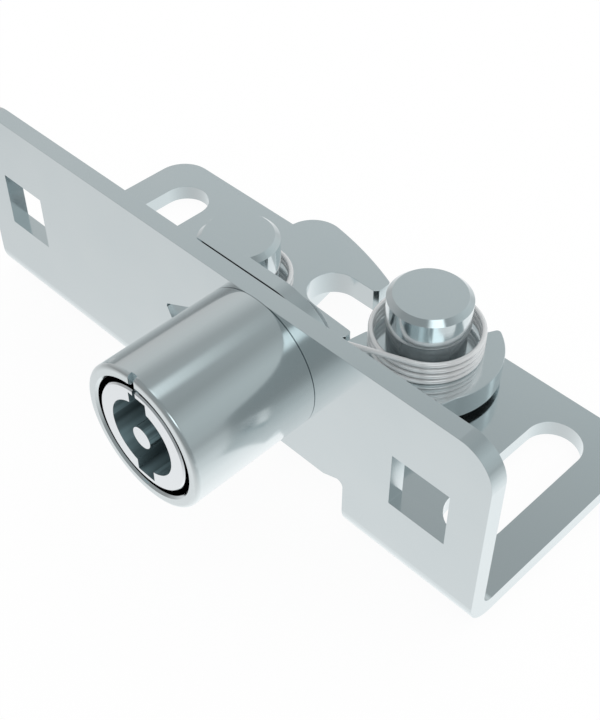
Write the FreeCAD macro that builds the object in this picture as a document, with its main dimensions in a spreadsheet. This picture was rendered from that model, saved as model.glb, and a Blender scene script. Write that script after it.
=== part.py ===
import FreeCAD, Part
import math
import os
import re

import Sketcher

# Rotary latch on a folded plate, worked by a double-bit key.
# Millimetres and degrees. X runs along the plate, Y from the lock's face to the back of the base,
# Z up. The origin is under the middle of the latch's box, on the underside of the base. The
# pieces are placed by distances from the flange's front face, and new_body moves them back.

doc = FreeCAD.newDocument("rotary_latch")
# Every driving size, by its word in the sheet.
driving = {
    # The folded plate
    "sheet_thick": 2.5,
    "plate_length": 93.75,
    "base_depth": 37.5,
    "flange_height": 30.5,
    "bend_rad": 4.2,
    "corner_rad": 5.0,
    "bolt_spacing": 75.0,
    "square_hole": 8.5,
    "square_hole_height": 16.5,
    "slot_width": 8.0,
    "slot_front": 12.4,
    "slot_back": 29.1,
    "relief_half": 14.63,
    "relief_top": 8.6,
    "relief_depth": 7.0,
    "relief_ear_width": 3.3,
    "relief_ear_height": 0.9,
    "relief_ear_rad": 0.95,
    "cut_past": 1.0,
    "mouth_rad": 5.3,
    "mouth_height": 24.5,
    "mouth_flare": 10.5,
    "window_side": 6.0,
    "window_turn": 26.5,
    "window_corner_x": -6.3,
    "window_corner_height": 18.6,
    "window_rad": 0.5,

    # The lock
    "lock_x": 11.27,
    "lock_height": 20.93,
    "sleeve_rad": 9.72,
    "sleeve_reach": 18.5,
    "sleeve_rim_rad": 0.6,
    "sleeve_bore_rad": 8.05,
    "sleeve_step": 6.5,
    "spigot_rad": 8.2,
    "index_width": 1.0,
    "index_side": -0.45,
    "index_depth": 0.7,
    "plug_index_width": 0.5,
    "plug_rad": 7.35,
    "plug_sink": 0.1,
    "plug_edge": 0.2,
    "journal_rad": 6.0,
    "running_clear": 0.05,
    "friction_thick": 0.5,
    "key_rad": 5.15,
    "key_wing_width": 2.9,
    "key_wing_reach": 6.55,
    "key_depth": 11.0,
    "key_pin_rad": 1.5,
    "key_pin_root": 2.5,
    "seal_width": 1.8,
    "seal_depth": 1.1,
    "seal_place": 0.3,
    "seal_side_clear": 0.1,
    "stop_pin_rad": 1.0,
    "stop_pin_place": 3.6,
    "stop_pin_sink": 0.4,
    "stop_groove_depth": 1.0,
    "stop_clear": 0.1,
    "key_travel": 90.0,
    "tang_side": 7.5,

    # The cam on the plug's tail
    "cam_gap": 0.2,
    "cam_thick": 2.0,
    "cam_half": 9.57,
    "cam_reach": 13.47,
    "cam_washer_rad": 5.0,
    "cam_washer_thick": 1.0,
    "cam_washer_clear": 0.2,
    "screw_rad": 2.5,
    "screw_length": 8.0,
    "screw_tip": 0.5,
    "screw_head_rad": 4.25,
    "screw_head_height": 3.0,
    "screw_head_edge": 0.4,
    "screw_socket": 3.0,
    "screw_socket_depth": 1.8,

    # What the claw and the pawl share
    "lever_low": 3.75,
    "lever_thick": 3.8,
    "lever_edge_rad": 0.6,
    "washer_rad": 7.0,
    "axial_clear": 0.05,
    "stud_rad": 3.0,
    "stud_top": 16.9,
    "stud_head_rad": 6.0,
    "stud_head_height": 4.7,
    "stud_bevel_width": 0.8,
    "stud_bevel_height": 0.75,
    "stud_foot_rad": 4.25,
    "stud_foot_height": 1.2,
    "bush_rad": 5.7,
    "bush_journal_rad": 4.0,
    "wire_rad": 0.4,
    "wire_flats": 8,
    "coil_pitch": 1.06,
    "hook_hole_rad": 0.55,
    "hook_bend": 0.6,
    "hook_depth": 2.0,

    # The claw, from its pivot
    "claw_x": -11.5,
    "claw_y": 17.7,
    "claw_hub_rad": 8.2,
    "claw_left": 4.6,
    "claw_left_top": 20.3,
    "claw_corner_rad": 4.9,
    "claw_back_rad": 62.0,
    "claw_front_x": 3.0,
    "claw_front_y": -7.0,
    "upper_jaw_reach": 15.35,
    "upper_jaw_tip": 15.8,
    "jaw_bevel": 0.61,
    "jaw_slot_x": 10.8,
    "jaw_slot_y": 8.65,
    "jaw_slot_rad": 4.1,
    "lower_jaw_reach": 18.5,
    "lower_jaw_top": 4.17,
    "lower_jaw_bottom": 0.6,
    "lower_jaw_bevel_x": 1.3,
    "lower_jaw_bevel_y": 2.3,
    "notch_x": 11.0,
    "notch_undercut": 0.6,
    "notch_depth": 2.4,
    "notch_run": 2.8,
    "notch_rise": 0.3,
    "tooth_thick": 2.1,
    "claw_coil_rad": 7.4,
    "claw_coil_turns": 2.03,
    "claw_leg_turn": -60.0,
    "claw_leg_length": 16.0,

    # The pawl, from its pivot
    "pawl_x": 15.85,
    "pawl_y": 27.5,
    "pawl_hub_rad": 8.45,
    "pawl_lobe_rad": 11.05,
    "pawl_lobe_start": -27.7,
    "pawl_lobe_end": 60.0,
    "pawl_waist_x": 4.3,
    "pawl_waist_y": 7.2,
    "pawl_neck": 5.0,
    "pawl_throat": 8.1,
    "pawl_throat_ease": 0.5,
    "pawl_throat_top": -4.2,
    "pawl_throat_middle": -6.8,
    "pawl_throat_low": -9.2,
    "nose_rad": 20.6,
    "nose_angle": -129.5,
    "nose_width": 12.5,
    "nose_bevel_x": 0.45,
    "nose_bevel_y": 1.8,
    "nose_gap": 2.3,
    "nose_overlap": 4.0,
    "tab_left": 5.45,
    "tab_width": 4.1,
    "tab_front": 24.1,
    "tab_length": 3.5,
    "arm_low_x": 2.2,
    "arm_low_y": -21.0,
    "arm_middle_x": 8.8,
    "arm_middle_y": -15.0,
    "arm_top_x": 9.15,
    "arm_top_y": -7.2,
    "pawl_coil_rad": 7.83,
    "pawl_coil_turns": 3.3,
    "pawl_leg_turn": -67.9,
    "pawl_leg_length": 34.0,
}

sizes = doc.addObject("Spreadsheet::Sheet", "Sizes")
for row, (word, number) in enumerate(driving.items(), start=1):
    sizes.set("A%d" % row, word)
    sizes.set("B%d" % row, str(number))
    sizes.setAlias("B%d" % row, word)
doc.recompute()

# The origin's distance behind the flange's front face
origin_back = "(base_depth - sleeve_reach) / 2"
# Two places nearer than this are one
near = 0.01


def sized(words):
    """Write an expression for the document from plain words of the sheet."""
    return re.sub(r"[a-z_]+", lambda m: "Sizes." + m[0] if m[0] in driving else m[0], words)


def value(words):
    """Work out an expression now."""
    return float(sizes.evalExpression(sized(words)))


def bind(thing, field, words):
    """Tie one property to the sheet."""
    thing.setExpression(field, sized(words))


def new_body(name, x="0", y="0", z="0"):
    """Start one piece, placed by its distances from the plate's middle, front and underside."""
    body = doc.addObject("PartDesign::Body", name)
    body.Label = name
    for axis, words in (("x", x), ("y", "%s - %s" % (y, origin_back)), ("z", z)):
        bind(body, ".Placement.Base." + axis, words)
    return body


def new_sketch(body, plane):
    """Start a sketch on one of the body's own origin planes."""
    sketch = body.newObject("Sketcher::SketchObject", body.Name + "_sketch")
    role = plane + "_Plane"
    face = [part for part in body.Origin.OriginFeatures if part.Role == role][0]
    sketch.AttachmentSupport = [(face, "")]
    sketch.MapMode = "FlatFace"
    return sketch


def fix(sketch, kind, places, words):
    """Add one dimension to a sketch and tie it to the sheet."""
    number = sketch.addConstraint(Sketcher.Constraint(kind, *places, value(words)))
    bind(sketch, "Constraints[%d]" % number, words)


def add_outline(sketch, corners):
    """Draw a closed outline, counter-clockwise.

    Each corner is its two places in words of the sheet. A third entry is the radius of the round
    stretch from there to the next corner, with a minus in front where it bends inward.
    """
    first = sketch.GeometryCount
    points = [FreeCAD.Vector(value(corner[0]), value(corner[1]), 0) for corner in corners]
    count = len(corners)
    ends = []
    for number, corner in enumerate(corners):
        start, end = points[number], points[(number + 1) % count]
        if len(corner) == 2:
            sketch.addGeometry(Part.LineSegment(start, end))
            ends.append((1, 2))
            continue
        radius = value(corner[2])
        half = (end - start) * 0.5
        rise = math.sqrt(max(radius ** 2 - half.Length ** 2, 0))
        left = FreeCAD.Vector(-half.y, half.x, 0).normalize()
        centre = start + half + left * math.copysign(rise, radius)
        begin, finish = (start, end) if radius > 0 else (end, start)
        angles = [math.atan2(p.y - centre.y, p.x - centre.x) for p in (begin, finish)]
        circle = Part.Circle(centre, FreeCAD.Vector(0, 0, 1), abs(radius))
        sketch.addGeometry(Part.ArcOfCircle(circle, *angles))
        ends.append((1, 2) if radius > 0 else (2, 1))
    for number in range(count):
        following = (number + 1) % count
        joined = (first + number, ends[number][1], first + following, ends[following][0])
        sketch.addConstraint(Sketcher.Constraint("Coincident", *joined))
    for number, corner in enumerate(corners):
        place = (first + number, ends[number][0])
        fix(sketch, "DistanceX", place, corner[0])
        fix(sketch, "DistanceY", place, corner[1])
        if len(corner) == 3:
            fix(sketch, "Radius", (first + number,), corner[2].lstrip("-"))


def add_circle(sketch, radius, x="0", y="0"):
    """Draw a circle about a point."""
    centre = FreeCAD.Vector(value(x), value(y), 0)
    number = sketch.addGeometry(Part.Circle(centre, FreeCAD.Vector(0, 0, 1), value(radius)))
    fix(sketch, "DistanceX", (number, 3), x)
    fix(sketch, "DistanceY", (number, 3), y)
    fix(sketch, "Radius", (number,), radius)


def outline(body, plane, corners):
    """A sketch that holds one closed outline."""
    sketch = new_sketch(body, plane)
    add_outline(sketch, corners)
    return sketch


def circle(body, plane, radius, x="0", y="0"):
    """A sketch that holds one circle."""
    sketch = new_sketch(body, plane)
    add_circle(sketch, radius, x, y)
    return sketch


def box_corners(x_low, y_low, x_high, y_high):
    """The four corners of an upright rectangle."""
    return [(x_low, y_low), (x_high, y_low), (x_high, y_high), (x_low, y_high)]


def slot_corners(x, y_low, y_high, radius):
    """The outline of an upright slot between the centres of its two round ends."""
    left, right = "%s - %s" % (x, radius), "%s + %s" % (x, radius)
    bottom, top = "%s - %s" % (y_low, radius), "%s + %s" % (y_high, radius)
    return [(left, y_low, radius), (x, bottom, radius), (right, y_low),
            (right, y_high, radius), (x, top, radius), (left, y_high)]


def pad(body, sketch, length, backward=False, both_ways=False, start="0"):
    """Raise a sketch into a solid."""
    feature = body.newObject("PartDesign::Pad", body.Name + "_pad")
    feature.Profile = sketch
    feature.Reversed = backward
    if both_ways:
        feature.SideType = "Symmetric"
    bind(feature, "Length", length)
    lift(sketch, start)
    doc.recompute()
    return feature


def lift(sketch, start):
    """Move a sketch off its plane, along the plane's normal."""
    if start != "0":
        bind(sketch, ".AttachmentOffset.Base.z", start)


def pocket(body, sketch, depth, backward=False, both_ways=False, start="0"):
    """Cut a sketch out of the body, and make sure that it did cut."""
    before = body.Shape.Volume
    feature = body.newObject("PartDesign::Pocket", body.Name + "_pocket")
    feature.Profile = sketch
    feature.Reversed = backward
    if both_ways:
        feature.SideType = "Symmetric"
    bind(feature, "Length", depth)
    lift(sketch, start)
    doc.recompute()
    if feature.Shape.Volume > before - 0.01:
        raise RuntimeError("a pocket of %s cuts nothing" % body.Name)
    return feature


def turned(body, plane, corners):
    """Turn an outline, drawn as radius and height, about the sketch's upright axis."""
    sketch = outline(body, plane, corners)
    feature = body.newObject("PartDesign::Revolution", body.Name + "_turning")
    feature.Profile = sketch
    feature.ReferenceAxis = (sketch, ["V_Axis"])
    feature.Angle = 360
    doc.recompute()
    return feature


def edges_where(body, wanted):
    """The names of the edges whose middle and direction pass a test."""
    names = []
    for number, edge in enumerate(body.Shape.Edges):
        middle = edge.valueAt((edge.FirstParameter + edge.LastParameter) / 2)
        ends = edge.Vertexes
        run = ends[-1].Point - ends[0].Point
        if wanted(body.Placement.inverse() * middle, run):
            names.append("Edge%d" % (number + 1))
    return names


def round_edges(body, wanted, radius):
    """Round the edges that pass a test."""
    base = body.Tip
    names = edges_where(body, wanted)
    feature = body.newObject("PartDesign::Fillet", body.Name + "_fillet")
    feature.Base = (base, names)
    bind(feature, "Radius", radius)
    doc.recompute()
    return feature


def upright_near(x, y, reach=0.05):
    """A test for an upright edge at a place in plan."""
    spot = FreeCAD.Vector(value(x), value(y), 0)

    def wanted(middle, run):
        plan = FreeCAD.Vector(middle.x, middle.y, 0)
        upright = math.hypot(run.x, run.y) < 0.001 < abs(run.z)
        return upright and plan.distanceToPoint(spot) < reach

    return wanted


def bracket():
    """One sheet folded into a base and a low upright flange.

    The flange has a square hole near each end for a carriage bolt, the bore that takes the lock
    and a small window. Below the lock the fold is cut away, so that the cam and the pawl's tab
    can swing. The base has a slot near each end, the flared mouth that takes the striker, and
    two countersunk holes for the pivot studs.
    """
    body = new_body("bracket")
    fold = outline(body, "YZ", [
        ("bend_rad", "0"),
        ("base_depth", "0"),
        ("base_depth", "sheet_thick"),
        ("bend_rad", "sheet_thick", "-(bend_rad - sheet_thick)"),
        ("sheet_thick", "bend_rad"),
        ("sheet_thick", "flange_height"),
        ("0", "flange_height"),
        ("0", "bend_rad", "bend_rad")])
    pad(body, fold, "plate_length", both_ways=True)

    end, top, back = value("plate_length / 2"), value("flange_height"), value("base_depth")

    def at_free_corner(middle, run):
        at_end = abs(abs(middle.x) - end) < near
        on_flange = abs(middle.z - top) < near < abs(run.y)
        on_base = abs(middle.y - back) < near < abs(run.z)
        return at_end and (on_flange or on_base)

    round_edges(body, at_free_corner, "corner_rad")

    half, height = "square_hole / 2", "square_hole_height"
    x = "bolt_spacing / 2"
    square = outline(body, "XZ", box_corners(
        "%s - %s" % (x, half), "%s - %s" % (height, half),
        "%s + %s" % (x, half), "%s + %s" % (height, half)))
    square_cut = pocket(body, square, "sheet_thick")
    slot = outline(body, "XY", slot_corners(x, "slot_front", "slot_back", "slot_width / 2"))
    slot_cut = pocket(body, slot, "sheet_thick", backward=True)
    other_end = body.newObject("PartDesign::Mirrored", "bracket_other_end")
    other_end.Originals = [square_cut, slot_cut]
    middle_plane = [part for part in body.Origin.OriginFeatures if part.Role == "YZ_Plane"][0]
    other_end.MirrorPlane = (middle_plane, [""])
    body.Tip = other_end
    doc.recompute()

    right, left = "lock_x + relief_half", "lock_x - relief_half"
    ear_top = "relief_top + relief_ear_height"
    relief = outline(body, "XZ", [
        (left, "-cut_past"),
        (right, "-cut_past"),
        (right, "relief_top", "relief_ear_rad"),
        (right + " - relief_ear_rad", ear_top),
        (right + " - relief_ear_width", "relief_top"),
        (left + " + relief_ear_width", "relief_top"),
        (left + " + relief_ear_rad", ear_top, "relief_ear_rad"),
        (left, "relief_top")])
    pocket(body, relief, "relief_depth")

    slope_x, slope_y = "cos(mouth_flare * 1 deg)", "sin(mouth_flare * 1 deg)"
    wall_x = "mouth_rad * " + slope_x
    wall_y = "mouth_height - mouth_rad * " + slope_y
    past = "base_depth + cut_past"
    lip = "mouth_rad / %s + (%s - mouth_height) * tan(mouth_flare * 1 deg)" % (slope_x, past)
    mouth = outline(body, "XY", [
        ("-" + wall_x, wall_y, "mouth_rad"),
        (wall_x, wall_y),
        (lip, past),
        ("-(%s)" % lip, past)])
    pocket(body, mouth, "sheet_thick", backward=True)

    pocket(body, circle(body, "XZ", "spigot_rad", "lock_x", "lock_height"), "sheet_thick")
    for x, y in (("claw_x", "claw_y"), ("pawl_x", "pawl_y")):
        pocket(body, circle(body, "XY", "stud_rad", x, y), "sheet_thick", backward=True)

    cosine, sine = "window_side * cos(window_turn * 1 deg)", "window_side * sin(window_turn * 1 deg)"
    across, up = "window_corner_x", "window_corner_height"
    window = outline(body, "XZ", [
        (across, up),
        ("%s + %s" % (across, sine), "%s - %s" % (up, cosine)),
        ("%s + %s + %s" % (across, sine, cosine), "%s - %s + %s" % (up, cosine, sine)),
        ("%s + %s" % (across, cosine), "%s + %s" % (up, sine))])
    pocket(body, window, "sheet_thick")
    middle_x = value("%s + (%s + %s) / 2" % (across, sine, cosine))
    middle_z = value("%s + (%s - %s) / 2" % (up, sine, cosine))
    half_diagonal = value("window_side / sqrt(2)")

    def in_window(middle, run):
        away = math.hypot(middle.x - middle_x, middle.z - middle_z)
        return math.hypot(run.x, run.z) < near and abs(away - half_diagonal) < near

    round_edges(body, in_window, "window_rad")
    countersinks(body)
    return body


def countersinks(body):
    """Open the two stud holes below, so that each stud's foot can be riveted over flush."""
    for x, y in (("claw_x", "claw_y"), ("pawl_x", "pawl_y")):
        sketch = outline(body, "XZ", [
            ("0", "-cut_past"),
            ("stud_foot_rad + cut_past * (stud_foot_rad - stud_rad) / stud_foot_height",
             "-cut_past"),
            ("stud_rad", "stud_foot_height"),
            ("0", "stud_foot_height")])
        bind(sketch, ".AttachmentOffset.Base.x", x)
        bind(sketch, ".AttachmentOffset.Base.z", "-" + y)
        before = body.Shape.Volume
        feature = body.newObject("PartDesign::Groove", "bracket_countersink")
        feature.Profile = sketch
        feature.ReferenceAxis = (sketch, ["V_Axis"])
        feature.Angle = 360
        doc.recompute()
        if feature.Shape.Volume > before - 0.01:
            raise RuntimeError("a countersink cuts nothing")


def at_lock(name, y="0"):
    """Start a piece whose own origin is on the lock's axis."""
    return new_body(name, "lock_x", y, "lock_height")


def lock_sleeve():
    """A turned sleeve, seated on the flange and riveted into its bore behind."""
    body = at_lock("lock_sleeve")
    journal = "journal_rad + running_clear"
    turned(body, "XY", [
        (journal, "-sleeve_step"),
        ("sleeve_bore_rad", "-sleeve_step"),
        ("sleeve_bore_rad", "-sleeve_reach + sleeve_rim_rad / 2"),
        ("sleeve_bore_rad + sleeve_rim_rad / 2", "-sleeve_reach"),
        ("sleeve_rad - sleeve_rim_rad", "-sleeve_reach", "sleeve_rim_rad"),
        ("sleeve_rad", "-sleeve_reach + sleeve_rim_rad"),
        ("sleeve_rad", "0"),
        ("spigot_rad", "0"),
        ("spigot_rad", "sheet_thick"),
        (journal, "sheet_thick")])
    index = outline(body, "XZ", box_corners(
        "index_side - index_width / 2", "sleeve_bore_rad - cut_past",
        "index_side + index_width / 2", "sleeve_rad + cut_past"))
    pocket(body, index, "index_depth + cut_past", start="sleeve_reach + cut_past")
    pin_hole = circle(body, "XY", "stop_pin_rad", "0", "-stop_pin_place")
    pocket(body, pin_hole, "sleeve_rad + cut_past")
    return body


def stop_pin():
    """A pin pressed through the sleeve from below, whose nose stands in the plug's groove."""
    body = at_lock("stop_pin")
    nose = "journal_rad - stop_groove_depth + stop_clear"
    pin = circle(body, "XY", "stop_pin_rad", "0", "-stop_pin_place")
    pad(body, pin, "sleeve_rad - stop_pin_sink - (%s)" % nose, backward=True, start="-(%s)" % nose)
    return body


def lock_plug():
    """The turned insert that the key works.

    Its face has the round keyhole with two wings, and a fine index groove above them. Behind its
    head a journal runs in the sleeve, with a groove for the seal and a part groove for the stop
    pin, and ends in a square tang.
    """
    body = at_lock("lock_plug")
    face = "-sleeve_reach + plug_sink"
    head_back = "-sleeve_step - friction_thick - axial_clear"
    shoulder = "sheet_thick + cam_gap"
    turned(body, "XY", [
        ("0", face),
        ("plug_rad - plug_edge", face),
        ("plug_rad", face + " + plug_edge"),
        ("plug_rad", head_back),
        ("journal_rad", head_back),
        ("journal_rad", "-seal_place - seal_width"),
        ("journal_rad - seal_depth", "-seal_place - seal_width"),
        ("journal_rad - seal_depth", "-seal_place"),
        ("journal_rad", "-seal_place"),
        ("journal_rad", shoulder),
        ("0", shoulder)])
    tang = outline(body, "XZ", box_corners(
        "-tang_side / 2", "-tang_side / 2", "tang_side / 2", "tang_side / 2"))
    pad(body, tang, "cam_thick - axial_clear", backward=True, start="-(%s)" % shoulder)

    keyhole = circle(body, "XZ", "key_rad")
    in_front = "sleeve_reach - plug_sink + cut_past"
    pocket(body, keyhole, "key_depth + cut_past", start=in_front)
    wings = outline(body, "XZ", box_corners(
        "-key_wing_width / 2", "-key_wing_reach", "key_wing_width / 2", "key_wing_reach"))
    pocket(body, wings, "key_depth + cut_past", start=in_front)
    index = outline(body, "XZ", box_corners(
        "index_side - plug_index_width / 2", "key_rad",
        "index_side + plug_index_width / 2", "plug_rad + cut_past"))
    pocket(body, index, "index_depth + cut_past", start=in_front)
    pin_seat = circle(body, "XZ", "key_pin_rad")
    pocket(body, pin_seat, "key_pin_root + cut_past", start=in_front + " - key_depth")
    screw_hole = circle(body, "XZ", "screw_rad")
    pocket(body, screw_hole, "screw_length + screw_tip", backward=True,
           start="-(%s + cam_thick)" % shoulder)

    groove_half = "(stop_pin_rad + stop_clear)"
    sketch = outline(body, "XY", box_corners(
        "journal_rad - stop_groove_depth", "-stop_pin_place - %s" % groove_half,
        "journal_rad + cut_past", "-stop_pin_place + %s" % groove_half))
    spread = "asin(%s / journal_rad) / 1 deg" % groove_half
    bind(sketch, ".AttachmentOffset.Rotation.Angle", "90 - %s" % spread)
    sketch.AttachmentOffset.Rotation.Axis = FreeCAD.Vector(0, 1, 0)
    before = body.Shape.Volume
    feature = body.newObject("PartDesign::Groove", "lock_plug_stop_groove")
    feature.Profile = sketch
    feature.ReferenceAxis = (sketch, ["V_Axis"])
    bind(feature, "Angle", "key_travel + 2 * %s" % spread)
    doc.recompute()
    if feature.Shape.Volume > before - 0.01:
        raise RuntimeError("the stop groove cuts nothing")
    return body


def key_pin():
    """The round pin in the middle of the keyhole, pressed into the plug."""
    body = at_lock("key_pin")
    pin = circle(body, "XZ", "key_pin_rad")
    pad(body, pin, "key_depth + key_pin_root", start="sleeve_reach - plug_sink",
        backward=True)
    return body


def friction_washer():
    """A thin washer between the plug's head and the sleeve's step."""
    body = at_lock("friction_washer")
    turned(body, "XY", box_corners(
        "journal_rad + 2 * running_clear", "-sleeve_step - friction_thick",
        "plug_rad", "-sleeve_step"))
    return body


def plug_seal():
    """A rubber ring in the journal's groove, seen here as squeezed by the bore."""
    body = at_lock("plug_seal")
    inner, outer = "journal_rad - seal_depth", "journal_rad + running_clear / 2"
    low, high = "-seal_place - seal_width + seal_side_clear", "-seal_place - seal_side_clear"
    crown = "seal_depth / 4"
    turned(body, "XY", [
        (inner, low),
        ("%s - %s" % (outer, crown), low),
        (outer, "%s + %s" % (low, crown)),
        (outer, "%s - %s" % (high, crown)),
        ("%s - %s" % (outer, crown), high),
        (inner, high)])
    return body


def cam_plate():
    """The flat cam on the plug's tang, with a square hole, a round back and a long blunt arm."""
    body = at_lock("cam_plate", "sheet_thick + cam_gap")
    plate = new_sketch(body, "XZ")
    add_outline(plate, [
        ("0", "-cam_half", "cam_half"),
        ("cam_half", "0", "cam_half"),
        ("0", "cam_half"),
        ("-cam_reach", "cam_half"),
        ("-cam_reach", "-cam_half")])
    hole = "tang_side / 2 + running_clear"
    add_outline(plate, box_corners("-(%s)" % hole, "-(%s)" % hole, hole, hole))
    pad(body, plate, "cam_thick", backward=True)
    return body


def cam_washer():
    """The washer that the screw presses on the cam."""
    body = at_lock("cam_washer", "sheet_thick + cam_gap + cam_thick")
    turned(body, "XY", box_corners(
        "screw_rad + cam_washer_clear", "0", "cam_washer_rad", "cam_washer_thick"))
    return body


def cam_screw():
    """A cheese-head screw with a hexagon socket, which holds the cam on its tang."""
    body = at_lock("cam_screw", "sheet_thick + cam_gap + cam_thick + cam_washer_thick")
    turned(body, "XY", [
        ("0", "-screw_length"),
        ("screw_rad - screw_tip", "-screw_length"),
        ("screw_rad - running_clear / 2", "screw_tip - screw_length"),
        ("screw_rad - running_clear / 2", "0"),
        ("screw_head_rad", "0"),
        ("screw_head_rad", "screw_head_height - screw_head_edge", "screw_head_edge"),
        ("screw_head_rad - screw_head_edge", "screw_head_height"),
        ("0", "screw_head_height")])
    corner = "screw_socket / sqrt(3)"
    flat = "screw_socket / 2"
    socket = outline(body, "XZ", [
        (corner, "0"), (corner + " / 2", flat), ("-(%s) / 2" % corner, flat),
        ("-(%s)" % corner, "0"), ("-(%s) / 2" % corner, "-" + flat),
        (corner + " / 2", "-" + flat)])
    pocket(body, socket, "screw_socket_depth + cut_past", backward=True,
           start="-(screw_head_height + cut_past)")
    return body


def stud(name, x, y):
    """A pivot stud: a large bevelled head, a plain shank and a foot riveted into the base."""
    body = new_body(name, x, y)
    shank = "stud_rad - running_clear / 2"
    under = "stud_top - stud_head_height"
    turned(body, "XZ", [
        ("0", "0"),
        ("stud_foot_rad - running_clear / 2", "0"),
        (shank, "stud_foot_height"),
        (shank, under),
        ("stud_head_rad", under),
        ("stud_head_rad", "stud_top - stud_bevel_height"),
        ("stud_head_rad - stud_bevel_width", "stud_top"),
        ("0", "stud_top")])
    return body


def bush(name, x, y):
    """A stepped bush: its lower part is the lever's journal, its wider top keeps the lever down."""
    body = new_body(name, x, y)
    step = "lever_low + lever_thick + axial_clear"
    turned(body, "XZ", [
        ("stud_rad", "sheet_thick"),
        ("bush_journal_rad", "sheet_thick"),
        ("bush_journal_rad", step),
        ("bush_rad", step),
        ("bush_rad", "stud_top - stud_head_height"),
        ("stud_rad", "stud_top - stud_head_height")])
    return body


def washer(name, x, y):
    """A flat washer that carries the lever above the base."""
    body = new_body(name, x, y)
    turned(body, "XZ", box_corners(
        "bush_journal_rad + running_clear", "sheet_thick",
        "washer_rad", "lever_low - axial_clear"))
    return body


def claw():
    """The claw plate: two jaws round the striker's slot, and a tooth that the pawl's nose stops."""
    body = new_body("claw", "claw_x", "claw_y", "lever_low")
    hub = circle(body, "XY", "claw_hub_rad")
    pad(body, hub, "lever_thick")

    tooth_rad = "(nose_rad + nose_gap)"
    tip_angle = "((nose_angle + nose_overlap) * 1 deg)"
    tip_x = "pawl_x - claw_x + %s * cos(%s)" % (tooth_rad, tip_angle)
    tip_y = "pawl_y - claw_y + %s * sin(%s)" % (tooth_rad, tip_angle)
    root_x = "notch_x - notch_undercut"
    root_y = "%s + (%s - (%s)) * tan(%s + 90 deg)" % (tip_y, root_x, tip_x, tip_angle)
    slot_low, slot_high = "jaw_slot_y - jaw_slot_rad", "jaw_slot_y + jaw_slot_rad"
    jaws = outline(body, "XY", [
        ("-claw_left", "0"),
        ("claw_front_x", "claw_front_y"),
        (tip_x, "%s - tooth_thick" % tip_y),
        (tip_x, tip_y),
        (root_x, root_y),
        ("notch_x", "lower_jaw_bottom - notch_depth"),
        ("notch_x + notch_run", "lower_jaw_bottom - notch_rise"),
        ("lower_jaw_reach - lower_jaw_bevel_x", "lower_jaw_bottom"),
        ("lower_jaw_reach", "lower_jaw_bottom + lower_jaw_bevel_y"),
        ("lower_jaw_reach", "lower_jaw_top"),
        ("jaw_slot_x", slot_low, "-jaw_slot_rad"),
        ("jaw_slot_x - jaw_slot_rad", "jaw_slot_y", "-jaw_slot_rad"),
        ("jaw_slot_x", slot_high),
        ("upper_jaw_reach - jaw_bevel", slot_high),
        ("upper_jaw_reach", slot_high + " + jaw_bevel"),
        ("upper_jaw_reach", "upper_jaw_tip", "claw_back_rad"),
        ("-claw_left", "claw_left_top")])
    pad(body, jaws, "lever_thick")

    round_edges(body, upright_near("-claw_left", "claw_left_top"), "claw_corner_rad")
    small = [
        ("upper_jaw_reach", "upper_jaw_tip"),
        ("lower_jaw_reach", "lower_jaw_top"),
        (tip_x, tip_y),
        (tip_x, "%s - tooth_thick" % tip_y)]
    tests = [upright_near(x, y) for x, y in small]
    round_edges(body, lambda middle, run: any(t(middle, run) for t in tests), "lever_edge_rad")
    pivot_and_hook_holes(body, "claw")
    return body


def pawl():
    """The pawl plate: a round lobe, the nose that stops the claw, and a tab that the cam pushes."""
    body = new_body("pawl", "pawl_x", "pawl_y", "lever_low")
    hub = circle(body, "XY", "pawl_hub_rad")
    pad(body, hub, "lever_thick")

    def on_ring(radius, angle):
        return "%s * cos(%s * 1 deg)" % (radius, angle), "%s * sin(%s * 1 deg)" % (radius, angle)

    lobe_start = on_ring("pawl_lobe_rad", "pawl_lobe_start")
    lobe_end = on_ring("pawl_lobe_rad", "pawl_lobe_end")
    nose_tip = on_ring("nose_rad", "nose_angle")
    nose_end = on_ring("nose_rad", "(nose_angle + nose_width)")
    plate = outline(body, "XY", [
        (lobe_start[0], lobe_start[1], "pawl_lobe_rad"),
        lobe_end,
        ("pawl_waist_x", "pawl_waist_y"),
        ("-pawl_neck", "0"),
        ("-(pawl_throat - pawl_throat_ease)", "pawl_throat_top"),
        ("-pawl_throat", "pawl_throat_middle"),
        ("-pawl_throat", "pawl_throat_low"),
        ("%s + nose_bevel_x" % nose_tip[0], "%s + nose_bevel_y" % nose_tip[1]),
        (nose_tip[0], nose_tip[1], "nose_rad"),
        nose_end,
        ("-tab_left", "-(tab_front - tab_length)"),
        ("-tab_left", "-tab_front"),
        ("-tab_left + tab_width", "-tab_front"),
        ("arm_low_x", "arm_low_y"),
        ("arm_middle_x", "arm_middle_y"),
        ("arm_top_x", "arm_top_y")])
    pad(body, plate, "lever_thick")

    small = [
        nose_tip,
        ("-tab_left", "-tab_front"),
        ("-tab_left + tab_width", "-tab_front"),
        lobe_end]
    tests = [upright_near(x, y) for x, y in small]
    round_edges(body, lambda middle, run: any(t(middle, run) for t in tests), "lever_edge_rad")
    pivot_and_hook_holes(body, "pawl")
    return body


def pivot_and_hook_holes(body, lever):
    """Bore a lever for its bush's journal and for the lower hook of its spring."""
    pocket(body, circle(body, "XY", "bush_journal_rad + running_clear"), "lever_thick",
           backward=True)
    turn = "((%s_leg_turn + %s_coil_turns * 360) * 1 deg)" % (lever, lever)
    radius = lever + "_coil_rad"
    x = "%s * cos(%s) - hook_bend * sin(%s)" % (radius, turn, turn)
    y = "%s * sin(%s) + hook_bend * cos(%s)" % (radius, turn, turn)
    pocket(body, circle(body, "XY", "hook_hole_rad", x, y), "lever_thick", backward=True)


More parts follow.
